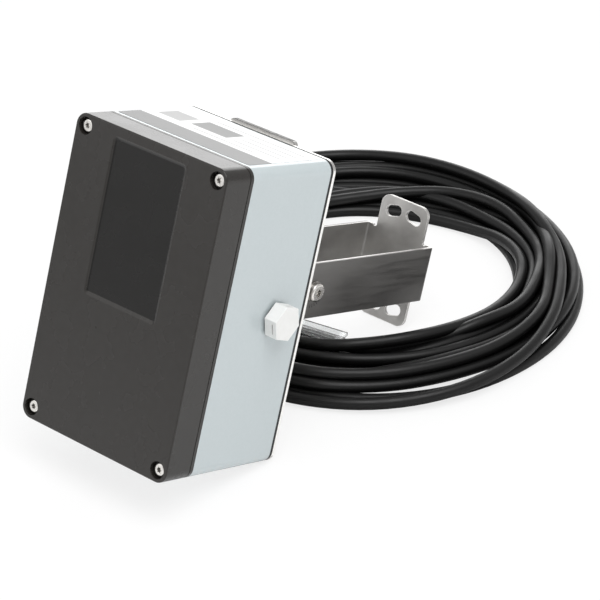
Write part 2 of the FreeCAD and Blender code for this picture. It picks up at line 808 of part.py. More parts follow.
def make_pivot(side_name, side):
    """Drawn with the shank along Z, its own frame at the outside of the arm."""
    turn = Rotation(Vector(0, 0, 1), Vector(side, 0, 0))
    frame = placed(x=f"{side} * bracket_width / 2", y=PIVOT_PLACE, turn=turn)

    body = new_body(f"pivot_washer_{side_name}", frame)
    sketch = new_sketch(body, "ring", "XY_Plane")
    circle(sketch, "washer_width")
    circle(sketch, "pivot_size + 2 * pivot_play")
    pad(body, "disc", sketch, "washer_thick")

    body = new_body(f"pivot_screw_{side_name}", frame)
    sketch = new_sketch(body, "head", "XY_Plane", "washer_thick")
    circle(sketch, "pivot_head")
    pad(body, "head_disc", sketch, "pivot_head_height")
    top = "washer_thick + pivot_head_height"
    fillet(body, "head_rim", f"pivot_head_height * {HEAD_ROUNDING}", lies_at("Z", number(top)))
    sketch = new_sketch(body, "shank", "XY_Plane", "washer_thick")
    circle(sketch, "pivot_size")
    through = "washer_thick + bracket_sheet + side_play + yoke_sheet + pivot_nut_depth"
    pad(body, "shank_rod", sketch, through, back=True)
    six_lobes(body, lambda name: new_sketch(body, name, "XY_Plane", top),
              "large_lobe_spread", "large_lobe_width")

    body = new_body(f"pivot_nut_{side_name}", frame)
    start = "-(bracket_sheet + side_play + yoke_sheet)"
    sketch = new_sketch(body, "hexagon", "XY_Plane", start)
    hexagon(sketch, "pivot_nut_width")
    circle(sketch, "pivot_size + 2 * pivot_play")
    pad(body, "block", sketch, "pivot_nut_depth", back=True)


# Vent plug: stem, sealing ring, hexagonal base, membrane and slotted cap

def make_vent_plug():
    turn = Rotation(Vector(0, 0, 1), Vector(1, 0, 0))
    frame = placed(x="sensor_width / 2", y="vent_back", z="vent_rise", turn=turn)

    body = new_body("vent_seal", frame)
    sketch = new_sketch(body, "ring", "XY_Plane")
    circle(sketch, "vent_ring_width")
    circle(sketch, "vent_stem + 2 * screw_play")
    pad(body, "disc", sketch, "vent_ring_thick")

    body = new_body("vent_body", frame)
    sketch = new_sketch(body, "hexagon", "XY_Plane", "vent_ring_thick")
    hexagon(sketch, "vent_hex", "vent_turn")
    pad(body, "base", sketch, "vent_base_height")
    sketch = new_sketch(body, "stem", "XY_Plane", "vent_ring_thick")
    circle(sketch, "vent_stem")
    pad(body, "stem_rod", sketch, "vent_stem_length", back=True)
    sketch = new_sketch(body, "bore", "XY_Plane", "vent_ring_thick + vent_base_height")
    circle(sketch, "vent_bore")
    pocket(body, "bore_cut", sketch)
    sketch = new_sketch(body, "seat", "XY_Plane", "vent_ring_thick + vent_base_height")
    circle(sketch, "membrane_width")
    pocket(body, "membrane_seat", sketch, "membrane_thick")

    body = new_body("vent_membrane", frame)
    base = "(vent_ring_thick + vent_base_height - membrane_thick)"
    sketch = new_sketch(body, "disc", "XY_Plane", base)
    circle(sketch, "membrane_width")
    pad(body, "film", sketch, "membrane_thick")

    body = new_body("vent_cap", frame)
    sketch = new_sketch(body, "hexagon", "XY_Plane", "vent_ring_thick + vent_base_height")
    hexagon(sketch, "vent_hex", "vent_turn")
    pad(body, "block", sketch, "vent_cap_height")
    cap_top = number("vent_ring_thick + vent_base_height + vent_cap_height")
    fillet(body, "rim", "vent_rim", lies_at("Z", cap_top))
    slot_plane = "vent_ring_thick + vent_base_height + vent_slot_height"
    sketch = new_sketch(body, "air_slot", "XY_Plane", slot_plane)
    for index in (0, 2, 4):
        facet_slot(sketch, f"60 * {index} + 30 + vent_turn")
    pocket(body, "air_slots", sketch, "vent_slot_height")


def facet_slot(sketch, angle):
    """A notch through one flat of the hexagon, centred on the given direction."""
    far, near = "(vent_hex / 2 + cut_margin)", "(vent_hex / 2 - vent_slot_depth)"
    half = "(vent_slot_length / 2)"
    corners = [(near, f"-{half}"), (far, f"-{half}"), (far, half), (near, half)]
    outline(sketch, [(f"{u} * cos({angle}) - {w} * sin({angle})".replace("- -", "+ "),
                      f"{u} * sin({angle}) + {w} * cos({angle})".replace("+ -", "- "))
                     for u, w in corners])


# Cable gland on the back plate

def make_gland():
    turn = Rotation(Vector(0, 0, 1), Vector(0, 1, 0))
    frame = placed(x=GLAND_X, y=BOX_DEPTH, z="-gland_drop", turn=turn)
    collar_end = "(gland_ring_thick + gland_collar)"
    bore = "(cable_width + 2 * screw_play)"

    body = new_body("gland_ring", frame)
    sketch = new_sketch(body, "ring", "XY_Plane")
    circle(sketch, "gland_ring_width")
    circle(sketch, "gland_thread + 2 * screw_play")
    pad(body, "disc", sketch, "gland_ring_thick")

    body = new_body("gland_body", frame)
    sketch = new_sketch(body, "collar", "XY_Plane", "gland_ring_thick")
    hexagon(sketch, "gland_hex")
    pad(body, "hexagon", sketch, "gland_collar")
    sketch = new_sketch(body, "barrel", "XY_Plane", collar_end)
    circle(sketch, "gland_barrel")
    pad(body, "barrel_rod", sketch, "gland_barrel_length")
    sketch = new_sketch(body, "stem", "XY_Plane", "gland_ring_thick")
    circle(sketch, "gland_thread")
    pad(body, "stem_rod", sketch, "gland_stem_length + gland_ring_thick", back=True)
    sketch = new_sketch(body, "bore", "XY_Plane", f"{collar_end} + gland_barrel_length")
    circle(sketch, "gland_cap_mouth")
    pocket(body, "bore_cut", sketch)

    body = new_body("gland_cap", frame)
    sketch = new_sketch(body, "profile", "XZ_Plane")
    tip = f"({collar_end} + gland_cap_length)"
    shoulder = f"({tip} - (gland_cap_width - gland_cap_mouth) / 2)"
    inner = f"({collar_end} + gland_barrel_length)"
    wide, thin = "gland_cap_width / 2", "(gland_barrel / 2 + screw_play)"
    mouth = f"({bore} / 2 + gland_rim)"
    outline(sketch, [(thin, collar_end), (wide, collar_end), (wide, shoulder),
                     ("gland_cap_mouth / 2 + gland_rim", tip), (mouth, tip),
                     (mouth, f"{tip} - gland_lip"), (thin, inner)])
    revolve(body, "dome", sketch)

    body = new_body("gland_grommet", frame)
    sketch = new_sketch(body, "profile", "XZ_Plane")
    end, neck = f"({tip} - gland_rim / 2)", f"({mouth} - 2 * screw_play)"
    outline(sketch, [(f"{bore} / 2", inner), (f"{bore} / 2", end), (neck, end),
                     (neck, f"{tip} - gland_lip"), ("gland_cap_mouth / 2", inner)])
    revolve(body, "sleeve", sketch)

    body = new_body("gland_locknut", frame)
    sketch = new_sketch(body, "hexagon", "XY_Plane", "-plate_thick")
    hexagon(sketch, "gland_hex")
    circle(sketch, "gland_thread + 2 * screw_play")
    pad(body, "block", sketch, "locknut_depth", back=True)


# Boards inside the housing

def make_main_board():
    body = new_body("main_board")
    width = "(sensor_width - 2 * housing_wall - 2 * board_play)"
    sketch = front_sketch(body, "outline", "board_place")
    middle_box(sketch, width, "board_height", "board_play")
    pad(body, "sheet", sketch, "board_thick", back=True)
    sketch = front_sketch(body, "holes", "board_place")
    four_circles(sketch, "board_hole", LUG_X, LUG_Z)
    for height in (f"{WINDOW_MIDDLE} - post_rise", f"{WINDOW_MIDDLE} + post_rise"):
        for side in ("-", ""):
            circle(sketch, "post_bore + 2 * screw_play", f"{side}{POST_X}", height)
    pocket(body, "holes_cut", sketch)
    sketch = front_sketch(body, "chips", "board_place + board_thick")
    for edges in CHIPS:
        box(sketch, *edges)
    pad(body, "chip_blocks", sketch, "chip_height", back=True)


def make_board_screws():
    body = new_body("board_screws")
    screw(body, "board_place", "board_screw_head", "board_screw_height", "lug_bore",
          "board_thick + lug_bore_depth - bore_reserve", True, LUG_X, LUG_Z)
    mirror(body, "left_pair", "YZ_Plane")
    mirror(body, "lower_pair", "XY_Plane")


def make_terminal_block():
    body = new_body("terminal_block")
    sketch = front_sketch(body, "outline", "board_place + board_thick", "0", "-terminal_drop")
    box(sketch, "-terminal_width / 2", "terminal_width / 2",
        "-terminal_height / 2", "terminal_height / 2")
    pad(body, "block", sketch, "terminal_depth", back=True)
    sketch = front_sketch(body, "wells", "board_place + board_thick + terminal_depth",
                          "0", "-terminal_drop")
    for index in (-2, -1, 0, 1, 2):
        circle(sketch, "well_width", f"{index} * well_pitch")
    pocket(body, "well_cuts", sketch, "well_depth", back=True)


def make_antenna():
    """The antenna board, as tall as the window, with its shield, screws and posts."""
    where = placed(z=WINDOW_MIDDLE)
    body = new_body("antenna_board", where)
    sketch = front_sketch(body, "outline", ANTENNA_PLACE)
    middle_box(sketch, "window_width + post_width", "window_height", "antenna_corner")
    pad(body, "sheet", sketch, "antenna_thick", back=True)
    sketch = front_sketch(body, "strips", ANTENNA_PLACE)
    for place in (-1.5, -0.5, 0.5, 1.5):
        middle = f"({place} * strip_pitch)"
        box(sketch, f"{middle} - strip_width / 2", f"{middle} + strip_width / 2",
            "-strip_length / 2", "strip_length / 2")
    pad(body, "radiating_strips", sketch, "strip_thick")
    sketch = front_sketch(body, "holes", ANTENNA_PLACE)
    four_circles(sketch, "post_bore + 2 * screw_play", POST_X, "post_rise")
    pocket(body, "holes_cut", sketch)

    body = new_body("radar_shield", where)
    sketch = front_sketch(body, "outline", ANTENNA_BACK)
    middle_box(sketch, "shield_width", "shield_height", "shield_corner")
    pad(body, "can", sketch, "shield_depth", back=True)
    sketch = front_sketch(body, "cavity", ANTENNA_BACK)
    middle_box(sketch, "shield_width - 2 * shield_wall", "shield_height - 2 * shield_wall",
               "shield_corner - shield_wall")
    pocket(body, "hollow", sketch, "shield_depth - shield_wall")

    body = new_body("antenna_screws", where)
    screw(body, ANTENNA_PLACE, "antenna_screw_head", "antenna_screw_height", "post_bore",
          "antenna_thick + lug_bore_depth", True, POST_X, "post_rise")
    mirror(body, "left_pair", "YZ_Plane")
    mirror(body, "lower_pair", "XY_Plane")

    body = new_body("antenna_posts", where)
    sketch = front_sketch(body, "posts", ANTENNA_BACK)
    four_circles(sketch, "post_width", POST_X, "post_rise")
    pad(body, "rods", sketch, f"board_place - {ANTENNA_BACK}", back=True)
    sketch = front_sketch(body, "bores", ANTENNA_BACK)
    four_circles(sketch, "post_bore", POST_X, "post_rise")
    pocket(body, "bores_cut", sketch, "lug_bore_depth + bore_reserve")
    sketch = front_sketch(body, "studs", "board_place")
    four_circles(sketch, "post_bore", POST_X, "post_rise")
    pad(body, "riveted_studs", sketch, "board_thick", back=True)


def make_type_label():
    body = new_body("type_label")
    sketch = new_sketch(body, "outline", "XY_Plane", "sensor_height / 2")
    start = "(cover_depth + label_setback)"
    rounded_box(sketch, "-label_width / 2", "label_width / 2", start, f"{start} + label_depth",
                "label_corner")
    pad(body, "foil", sketch, "label_thick")


# Cable: straight runs joined by tangent arcs as large as the runs allow

def route_wire(points, name):
    """The wire of a route, and a line of its radii."""
    spots = [Vector(*point) for point in points]
    edges, radii = [], []
    start = spots[0]
    for before, here, after in zip(spots, spots[1:], spots[2:]):
        back, ahead = (before - here), (after - here)
        shorter = min(back.Length, ahead.Length)
        turn = math.pi - back.getAngle(ahead)
        cut = BEND_SHARE * shorter
        radius = cut / math.tan(turn / 2)
        entry = here + back.normalize() * cut
        leave = here + ahead.normalize() * cut
        bisector = ((entry + leave) * 0.5 - here).normalize()
        middle = here + bisector * (radius / math.cos(turn / 2) - radius)
        edges.append(Part.LineSegment(start, entry).toShape())
        edges.append(Part.Arc(entry, middle, leave).toShape())
        radii.append(radius)
        start = leave
    edges.append(Part.LineSegment(start, spots[-1]).toShape())
    print(name, "radii", [round(radius, 1) for radius in radii])
    return Part.Wire(edges)


def make_cable(label, points):
    path = route_wire(points, label)
    start = Vector(*points[0])
    ahead = Vector(*points[1]) - start
    section = Part.Wire([Part.Circle(start, ahead, number("cable_width / 2")).toShape()])
    tube = path.makePipeShell([section], True, False)
    expected = math.pi * number("cable_width / 2") ** 2 * path.Length
    if abs(tube.Volume / expected - 1) > 0.01:
        raise ValueError(f"{label} has volume {tube.Volume}, not {expected}")
    piece = doc.addObject("Part::Feature", label)
    piece.Label = label
    piece.Shape = tube
    CORD_PIECES.append(piece)


def bind(feature, name, formula):
    setattr(feature, name, number(formula))
    feature.setExpression(name, cells(formula))


def oval_drum(name, centre, long_half, short_half, turn):
    """An upright drum on the floor with an oval outline."""
    oval = doc.addObject("Part::Ellipse", f"{name}_oval")
    bind(oval, "MajorRadius", long_half)
    bind(oval, "MinorRadius", short_half)
    oval.Placement = Placement(Vector(*centre, 0), Rotation(Vector(0, 0, 1), number(turn)))
    drum = doc.addObject("Part::Extrusion", name)
    drum.Base = oval
    drum.DirMode = "Custom"
    drum.Dir = Vector(0, 0, 1)
    drum.Solid = True
    bind(drum, "LengthFwd", "coil_height")
    return drum


def make_coil():
    """The outer shape of the loose coil: an oval ring with a hole of its own oval."""
    ring = doc.addObject("Part::Cut", "coil_ring")
    ring.Base = oval_drum("coil_drum", COIL_CENTRE, "coil_long", "coil_long - coil_flattening",
                          "coil_turn")
    ring.Tool = oval_drum("coil_hole", HOLE_CENTRE, "coil_long - coil_band",
                          "coil_long - coil_band - hole_flattening", "hole_turn")
    doc.recompute()
    piece = doc.addObject("Part::Fillet", "cable_coil")
    piece.Label = "cable_coil"
    piece.Base = ring
    radius = number("coil_rounding")
    levels = (0, number("coil_height"))
    piece.Edges = [(index, radius, radius) for index, edge in enumerate(ring.Shape.Edges, start=1)
                   if any(lies_at("Z", level)(edge) for level in levels)]
    doc.recompute()
    CORD_PIECES.append(piece)


def make_cable_cores():
    """Four bare cores with end ferrules, fanning a little out of the free end."""
    end, before = Vector(*TAIL_ROUTE[-1]), Vector(*TAIL_ROUTE[-2])
    ahead = (end - before).normalize()
    side = ahead.cross(Vector(0, 0, 1)).normalize()
    spread = number("core_spread")
    solids = []
    for across, up in CORE_PLACES:
        start = end + side * (across * spread) + Vector(0, 0, up * spread)
        way = (ahead + side * (across * CORE_FAN)).normalize()
        core = Part.makeCylinder(number("core_width / 2"), number("core_length"), start, way)
        tip = start + way * (number("core_length") - number("ferrule_length"))
        ferrule = Part.makeCylinder(number("ferrule_width / 2"), number("ferrule_length"), tip, way)
        solids.append(core.fuse(ferrule).removeSplitter())
    piece = doc.addObject("Part::Feature", "cable_cores")
    piece.Label = "cable_cores"
    piece.Shape = Part.makeCompound(solids)
    CORD_PIECES.append(piece)


def make_marker_sleeve():
    """A clear extruded holder on the lead's longest run, with a label channel and a foot."""
    before, after = max(zip(LEAD_ROUTE, LEAD_ROUTE[1:]), key=lambda run: math.dist(*run))
    before, after = Vector(*before), Vector(*after)
    ahead = (after - before).normalize()
    sideways = Vector(0, 0, 1).cross(ahead).normalize()
    turn = Rotation(sideways, Vector(0, 0, 1), ahead, "ZYX")
    start = (before + after) * 0.5 - ahead * number("sleeve_length / 2")
    body = new_body("marker_sleeve", Placement(start, turn))
    PIECES.remove(body)
    CORD_PIECES.append(body)
    bore = "(cable_width / 2 + sleeve_play)"
    outer = f"({bore} + sleeve_wall)"

    sketch = new_sketch(body, "tube", "XY_Plane")
    circle(sketch, f"2 * {outer}")
    pad(body, "tube_wall", sketch, "sleeve_length")
    sketch = new_sketch(body, "channel", "XY_Plane")
    low = f"({outer} - sleeve_top_sink)"
    box(sketch, "-sleeve_top_width / 2", "sleeve_top_width / 2", low, f"{low} + sleeve_top_height")
    pad(body, "channel_plate", sketch, "sleeve_length")
    sketch = new_sketch(body, "foot", "XY_Plane")
    foot_top = f"(-{outer} + sleeve_foot_sink)"
    box(sketch, "-sleeve_foot_width / 2", "sleeve_foot_width / 2",
        f"{foot_top} - sleeve_foot_height", foot_top)
    pad(body, "foot_plate", sketch, "sleeve_length")
    sketch = new_sketch(body, "bore", "XY_Plane")
    circle(sketch, f"2 * {bore}")
    pocket(body, "bore_cut", sketch, "sleeve_length", back=True)
    sketch = new_sketch(body, "label_slot", "XY_Plane")
    middle = f"({low} + sleeve_slot_rise)"
    box(sketch, "-sleeve_top_width / 2 + sleeve_wall", "sleeve_top_width / 2 - sleeve_wall",
        f"{middle} - sleeve_slot / 2", f"{middle} + sleeve_slot / 2")
    pocket(body, "label_slot_cut", sketch, "sleeve_length", back=True)


# Assembly

def stand_on_floor():
    """Puts the origin under the middle of the sensor and bracket, at floor level.

    Returns the place of the gland's mouth."""
    doc.recompute()
    whole = FreeCAD.BoundBox()
    for piece in PIECES:
        whole.add(piece.Shape.optimalBoundingBox(False))
    middle = whole.Center
    shift = Placement(Vector(-middle.x, -middle.y, -whole.ZMin), Rotation())
    for piece in PIECES:
        piece.Placement = shift * piece.Placement
    doc.recompute()
    depth = f"{BOX_DEPTH} + gland_ring_thick + gland_collar + gland_cap_length"
    mouth = shift.multVec(SENSOR.multVec(Vector(number(GLAND_X), number(depth), number("-gland_drop"))))
    print("lean", round(math.degrees(lean), 2), "gland mouth", mouth, "shift", shift.Base)
    return mouth


def write_pieces():
    """Checks every object and writes each piece to its own file."""
    for item in doc.Objects:
        if "Invalid" in item.State or "Error" in item.State:
            raise ValueError(f"{item.Label} did not compute: {item.State}")
    os.makedirs("parts", exist_ok=True)
    for piece in PIECES + CORD_PIECES:
        if piece.Shape.isNull() or not piece.Shape.isValid():
            raise ValueError(f"{piece.Label} has no valid shape")
        piece.Shape.exportStep(f"parts/{piece.Label}.step")
        print(piece.Label, len(piece.Shape.Solids), "solids", round(piece.Shape.Volume), "mm3")


make_front_cover()
make_front_seal()
make_housing()
make_rear_seal()
make_back_plate()
make_cover_screws()
make_plate_screws()
make_tilt_yoke()
make_yoke_fixings("upper", "yoke_screw_top")
make_yoke_fixings("lower", "-yoke_screw_low")
make_mounting_bracket()
make_pivot("right", 1)
make_pivot("left", -1)
make_vent_plug()
make_gland()
make_main_board()
make_board_screws()
make_terminal_block()
make_antenna()
make_type_label()
gland_mouth = stand_on_floor()
lead_start = [tuple(gland_mouth + Vector(*step)) for step in LEAD_START]
make_cable("cable_lead", lead_start + LEAD_ROUTE)
make_cable("cable_tail", TAIL_ROUTE)
make_coil()
make_cable_cores()
make_marker_sleeve()
doc.recompute()
write_pieces()
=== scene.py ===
"""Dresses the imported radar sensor: camera, light, cable, materials and small details."""

import json
import math

import bpy
import numpy as np
from mathutils import Matrix, Vector


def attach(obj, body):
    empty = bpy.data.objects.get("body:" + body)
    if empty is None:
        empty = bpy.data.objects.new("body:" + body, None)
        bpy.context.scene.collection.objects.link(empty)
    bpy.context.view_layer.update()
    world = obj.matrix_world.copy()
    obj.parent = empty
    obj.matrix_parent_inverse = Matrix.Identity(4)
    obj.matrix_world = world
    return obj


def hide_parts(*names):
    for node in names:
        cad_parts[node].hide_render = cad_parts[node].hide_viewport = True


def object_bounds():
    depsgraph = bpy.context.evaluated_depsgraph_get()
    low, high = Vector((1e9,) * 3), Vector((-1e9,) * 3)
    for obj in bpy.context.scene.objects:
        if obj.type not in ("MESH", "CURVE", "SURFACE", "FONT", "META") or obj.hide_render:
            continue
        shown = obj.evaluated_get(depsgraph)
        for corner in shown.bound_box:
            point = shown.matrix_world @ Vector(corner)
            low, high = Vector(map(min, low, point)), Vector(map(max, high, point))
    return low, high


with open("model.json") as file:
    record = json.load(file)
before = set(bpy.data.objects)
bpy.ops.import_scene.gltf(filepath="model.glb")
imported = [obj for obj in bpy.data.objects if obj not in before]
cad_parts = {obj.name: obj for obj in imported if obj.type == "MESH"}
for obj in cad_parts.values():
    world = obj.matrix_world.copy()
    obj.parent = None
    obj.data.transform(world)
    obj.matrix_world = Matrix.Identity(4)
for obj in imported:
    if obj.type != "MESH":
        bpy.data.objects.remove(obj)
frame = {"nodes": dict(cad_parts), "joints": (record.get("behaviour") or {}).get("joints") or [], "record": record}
cad_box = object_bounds()
nodes = frame["nodes"]
MM = 0.001

# The sensor's own frame at rest: x across, y from the cover to the bracket, z up the cover.
# Its origin is the middle of the cover's face, and the record's tilt joint fixes its place.
PIVOT_DEPTH = 136.5 * MM
pivot = Vector(frame["joints"][0]["pos_m"])
back = Vector(next(m["axis"] for m in frame["record"]["mounts"] if m["name"] == "bracket_back"))
back.normalize()
face_middle = pivot - back * PIVOT_DEPTH
lean = math.atan2(-back.z, back.y)

# ---- helpers for shader nodes


def plug(tree, socket, value):
    """Links an input to another node's output, or sets it to a plain value."""
    if isinstance(value, bpy.types.NodeSocket):
        tree.links.new(value, socket)
    else:
        socket.default_value = value


def math_node(tree, operation, *values):
    """The output of a math node whose inputs are sockets or numbers."""
    node = tree.nodes.new("ShaderNodeMath")
    node.operation = operation
    for socket, value in zip(node.inputs, values):
        plug(tree, socket, value)
    return node.outputs[0]


def product(tree, first, *others):
    """All values multiplied, which for shares of 0 and 1 is 1 where all of them are 1."""
    for other in others:
        first = math_node(tree, "MULTIPLY", first, other)
    return first


def dot_product(tree, first, second):
    """The dot product of two vectors, each a socket or plain numbers."""
    node = tree.nodes.new("ShaderNodeVectorMath")
    node.operation = "DOT_PRODUCT"
    for socket, value in zip(node.inputs, (first, second)):
        plug(tree, socket, value)
    return node.outputs["Value"]


def mix_shaders(tree, share, first, second):
    """The output of a mix of two shader nodes."""
    mixed = tree.nodes.new("ShaderNodeMixShader")
    for socket, source in zip(mixed.inputs, (share, first.outputs[0], second.outputs[0])):
        tree.links.new(source, socket)
    return mixed.outputs[0]


# ---- camera, floor and light

# Fitted to the photograph's straight edges: metres, degrees and the lens in millimetres.
CAMERA_PLACE = (0.9360, -1.03795, 0.88492)
CAMERA_AZIMUTH, CAMERA_ELEVATION = 41.176, 30.374
CAMERA_LENS, SENSOR_WIDTH = 167.565, 36.0


def make_camera():
    """The photograph's point of view."""
    data = bpy.data.cameras.new("camera")
    data.lens, data.sensor_width = CAMERA_LENS, SENSOR_WIDTH
    camera = bpy.data.objects.new("camera", data)
    camera.location = CAMERA_PLACE
    camera.rotation_euler = (math.radians(90 - CAMERA_ELEVATION), 0, math.radians(CAMERA_AZIMUTH))
    bpy.context.scene.collection.objects.link(camera)
    bpy.context.scene.camera = camera


FLOOR_SIDE = 8.0
FLOOR_COLOUR = (0.93, 0.93, 0.93, 1)
# Seen straight, this share of the floor is a white glow, so it runs into the white background.
FLOOR_GLOW_SHARE = 0.78


def seen_straight(tree):
    """1 for camera and see-through rays, 0 for the rays that light the object."""
    path = tree.nodes.new("ShaderNodeLightPath")
    return math_node(tree, "MAXIMUM", path.outputs["Is Camera Ray"],
                     path.outputs["Is Transmission Ray"])


def make_floor():
    """The ground, which takes the object's soft shadow."""
    mesh = bpy.data.meshes.new("floor")
    half = FLOOR_SIDE / 2
    corners = [(-half, -half, 0), (half, -half, 0), (half, half, 0), (-half, half, 0)]
    mesh.from_pydata(corners, [], [(0, 1, 2, 3)])
    floor = bpy.data.objects.new("floor", mesh)
    bpy.context.scene.collection.objects.link(floor)
    surface = bpy.data.materials.new("floor")
    surface.use_nodes = True
    tree = surface.node_tree
    tree.nodes.clear()
    matte = tree.nodes.new("ShaderNodeBsdfDiffuse")
    matte.inputs["Color"].default_value = FLOOR_COLOUR
    glow = tree.nodes.new("ShaderNodeEmission")
    glow_share = product(tree, seen_straight(tree), FLOOR_GLOW_SHARE)
    output = tree.nodes.new("ShaderNodeOutputMaterial")
    tree.links.new(mix_shaders(tree, glow_share, matte, glow), output.inputs[0])
    mesh.materials.append(surface)


WORLD_LIGHT = 0.62
# Each lamp has its place in metres, its power in watts and its side in metres.
LAMPS = {
    "key": ((0.55, -0.25, 1.5), 17.0, 1.2),
    "fill": ((-1.0, -1.3, 0.9), 5.0, 1.4),
    "rim": ((-0.95, 1.35, 0.42), 9.0, 1.2),
}


def make_world():
    """Soft light from all round, and pure white where the surroundings are seen straight."""
    world = bpy.data.worlds.new("studio")
    world.use_nodes = True
    tree = world.node_tree
    tree.nodes.clear()
    soft = tree.nodes.new("ShaderNodeBackground")
    soft.inputs["Strength"].default_value = WORLD_LIGHT
    white = tree.nodes.new("ShaderNodeBackground")
    for background in (soft, white):
        background.inputs["Color"].default_value = (1, 1, 1, 1)
    output = tree.nodes.new("ShaderNodeOutputWorld")
    tree.links.new(mix_shaders(tree, seen_straight(tree), soft, white), output.inputs[0])
    bpy.context.scene.world = world


def make_lamp(name, place, power, size):
    """A square soft lamp aimed at the middle of the object."""
    data = bpy.data.lights.new(name, "AREA")
    data.energy, data.size = power, size
    lamp = bpy.data.objects.new(name, data)
    lamp.location = place
    towards = (cad_box[0] + cad_box[1]) / 2 - Vector(place)
    lamp.rotation_euler = towards.to_track_quat("-Z", "Y").to_euler()
    bpy.context.scene.collection.objects.link(lamp)


make_camera()
make_floor()
make_world()
for lamp_name, settings in LAMPS.items():
    make_lamp(lamp_name, *settings)
bpy.context.scene.view_settings.view_transform = "Standard"

# ---- cable: one spline from the gland through the sleeve, round the coil and out to its free end

CABLE_DIAMETER = 7.5 * MM

# From here to make_cable, lengths are in millimetres and angles in degrees. The lead runs from
# inside the gland to the coil, the tail from the coil to the free end.
LEAD_ROUTE = [(-44.9, -22.3, 38.1), (-44.9, -7.1, 33.1), (-44.9, 16.0, 24.6), (-40.6, 29.0, 20.6),
              (-32.2, 40.3, 17.2), (-18.5, 49.4, 14.9), (13.5, 57.0, 13.7), (28.0, 67.8, 12.2),
              (38.5, 86.5, 11.4), (49.5, 107.5, 11.0)]
TAIL_ROUTE = [(-166.3, 76.4, 3.8), (-150.0, 51.0, 3.8), (-129.0, 29.0, 3.8), (-105.0, 10.0, 3.8),
              (-81.0, -6.0, 3.8), (-57.0, -17.0, 3.8)]
# The lead crosses the coil from its third point on. Up to this x it carries the marker sleeve,
# which needs more room. The coil makes way a few degrees before either of them.
LEAD_OVER_COIL = LEAD_ROUTE[2:]
SLEEVE_END, SLEEVE_ROOM = 18.5, 1.4
RUN_UP = 5

# The coil lies between two ovals, which carry the middles of its innermost and outermost turns.
# Each has a centre, two half axes and an angle. A share of 0 is on the inner one, 1 on the outer.
HOLE_CENTRE, HOLE_AXES, HOLE_ANGLE = (-41.6, 142.3), (97.0, 85.3), 44.0
COIL_CENTRE, COIL_AXES, COIL_ANGLE = (-46.3, 142.9), (151.2, 136.7), 140.6
OVALS = ((HOLE_CENTRE, HOLE_AXES, HOLE_ANGLE), (COIL_CENTRE, COIL_AXES, COIL_ANGLE))

# The spline has so many points in each turn. It runs a little inside them, which the ovals make
# up for.
STEPS = 20
SPLINE_ORDER = 3
CHORD = 0.75 + 0.25 * math.cos(2 * math.pi / STEPS)

# The cable first makes a loose turn on top, then winds inwards in an upper layer and outwards on
# the floor, with its last turns outermost. LOOSE_END and UPPER_END count turns from the start.
FLOOR_LAYER, UPPER_LAYER, TOP_LAYER = 0, 1, 2
FIRST_AZIMUTH = -9.0
TURNS = 13.55
LOOSE_END, UPPER_END = 0.8, 6.1
LOWER_TURNS, OUTER_TURNS = 6.6, 2.15
# The loose turn's share goes by azimuth, the upper layer's by turn.
LOOSE_SHARES = {-9: 0.22, 9: 0.36, 27: 0.45, 45: 0.49, 63: 0.48, 81: 0.44, 99: 0.34, 117: 0.18,
                135: 0.05, 153: 0.0, 171: 0.0, 189: 0.02, 207: 0.12, 225: 0.3, 243: 0.5, 261: 0.72,
                279: 0.85}
UPPER_SHARES = {LOOSE_END: 0.98, 1.9: 0.96, UPPER_END: 0.05}
# Between WOBBLE_START and the last turns the cable wanders a little, in two waves. Each wave has
# its number of crests round the coil and moves on by so many degrees with each turn.
UPPER_WOBBLE, LOWER_WOBBLE, WOBBLE_START = 0.07, 0.03, 2
WAVES = ((2, 100), (3, 230))
# On the near right side all but the loose and the last turns bunch up near the hole.
BUNCH_AZIMUTH, BUNCH_SPREAD, BUNCH_SHARE = -26, 62, 0.30

# The outermost turn may reach this share, and a little more on the near side. On the near left
# side the hole is a little wider.
OUTER_SHARE = 0.985
BULGE_AZIMUTH, BULGE_SPREAD, BULGE_SHARE = -48, 80, 0.11
WIDE_AZIMUTH, WIDE_SPREAD, WIDE_GAP = -72, 62, 7
# The pile is two layers high at its rims. What lies above stays back from them, by no more than
# this share of the coil's width.
RIM_HEIGHT, RIM_SLOPE, MOST_SET_BACK = 10.3, 1.5, 0.4
# At first, turns lie on each other at this share of the height that keeps them just apart.
FIRST_LIFT = 0.9
# In a pulled round the turns sink, even out and lose some of their shift. In all rounds, also the
# quiet ones at the end, they push each other apart.
PULLED_ROUNDS, QUIET_ROUNDS = 300, 120
SINK, SMOOTHING, SHIFT_KEPT = 0.2, 0.2, 0.94
# Turns whose middles meet count as this far apart, which keeps their push finite.
TINY = 1e-6


def oval_reach(axes, angle, azimuth):
    """How far an oval reaches from its centre towards an azimuth."""
    turned = math.radians(azimuth - angle)
    return axes[0] * axes[1] / math.hypot(axes[1] * math.cos(turned), axes[0] * math.sin(turned))


def across_coil(azimuth, share):
    """A point between the two ovals, as a share of the way from the hole's to the coil's."""
    turned = math.radians(azimuth)
    ends = []
    for centre, axes, angle in OVALS:
        reach = oval_reach(axes, angle, azimuth) / CHORD
        ends.append((centre[0] + reach * math.cos(turned), centre[1] + reach * math.sin(turned)))
    return [low + (high - low) * share for low, high in zip(*ends)]


def coil_width(azimuth):
    """The distance between the two ovals at an azimuth."""
    return math.dist(across_coil(azimuth, 0), across_coil(azimuth, 1))


def hump(azimuth, middle, spread):
    """1 at one azimuth, fading to 0 at a distance on each side."""
    gap = abs((azimuth - middle + 180) % 360 - 180)
    return 0.5 + 0.5 * math.cos(math.pi * gap / spread) if gap < spread else 0.0


def from_table(value, table):
    """The value of a table between its keys."""
    return float(np.interp(value, list(table), list(table.values())))


